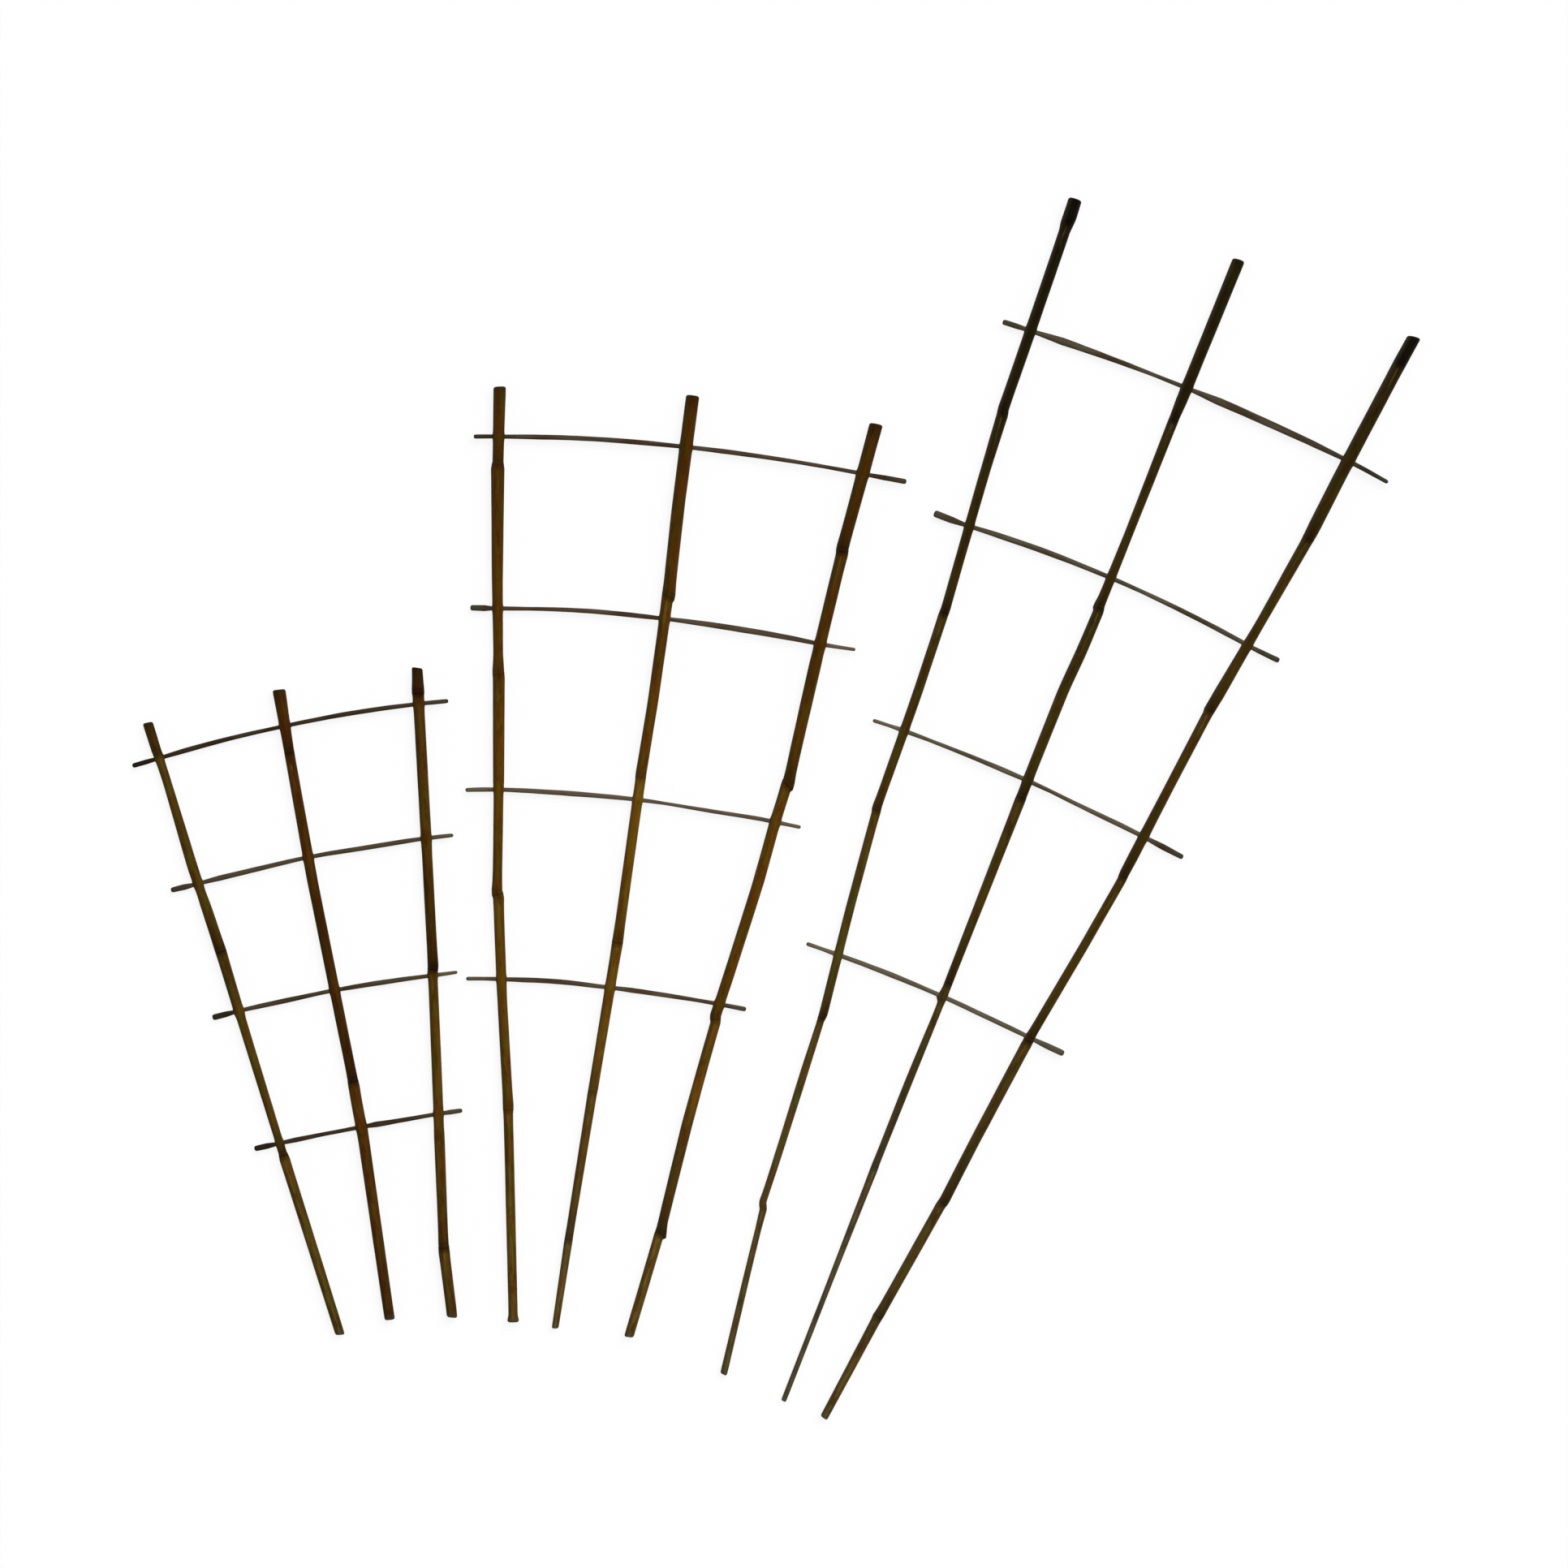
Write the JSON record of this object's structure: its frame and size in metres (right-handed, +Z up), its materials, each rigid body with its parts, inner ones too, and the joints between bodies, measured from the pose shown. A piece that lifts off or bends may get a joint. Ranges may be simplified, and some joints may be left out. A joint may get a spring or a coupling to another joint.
{
  "type": "espalier frame",
  "caption": "Flat fan-shaped bamboo frames in graded sizes for training plants, each of tapering jointed canes with thin split cross bars threaded through drilled holes.",
  "frame": {"origin": "centre of the whole set's box, on the ground that the canes lie on", "axes": "+X across the set from the small frame to the large one, +Y from the feet of the canes to their tops, +Z up off the ground"},
  "size_m": [1.2325, 1.1702, 0.0127],
  "materials": {
    "small_cane": "brown bamboo skin, satin",
    "medium_cane": "golden brown bamboo skin, satin",
    "large_cane": "dark olive bamboo skin, satin",
    "small_bar": "split bamboo, dull",
    "medium_bar": "split bamboo, dull",
    "large_bar": "split bamboo, dull"
  },
  "bodies": {
    "medium_frame": {"medium_left_cane": "medium_cane", "medium_middle_cane": "medium_cane", "medium_right_cane": "medium_cane", "medium_bar_1": "medium_bar", "medium_bar_2": "medium_bar", "medium_bar_3": "medium_bar", "medium_bar_4": "medium_bar"},
    "small_frame": {"small_left_cane": "small_cane", "small_middle_cane": "small_cane", "small_right_cane": "small_cane", "small_bar_1": "small_bar", "small_bar_2": "small_bar", "small_bar_3": "small_bar", "small_bar_4": "small_bar"},
    "large_frame": {"large_left_cane": "large_cane", "large_middle_cane": "large_cane", "large_right_cane": "large_cane", "large_bar_1": "large_bar", "large_bar_2": "large_bar", "large_bar_3": "large_bar", "large_bar_4": "large_bar"}
  },
  "joints": [
    {"name": "small_frame_lift", "type": "slide", "parent": "medium_frame", "child": "small_frame", "axis": [0, 0, 1], "range_m": [0, 0.1]},
    {"name": "large_frame_lift", "type": "slide", "parent": "medium_frame", "child": "large_frame", "axis": [0, 0, 1], "range_m": [0, 0.1]}
  ]
}
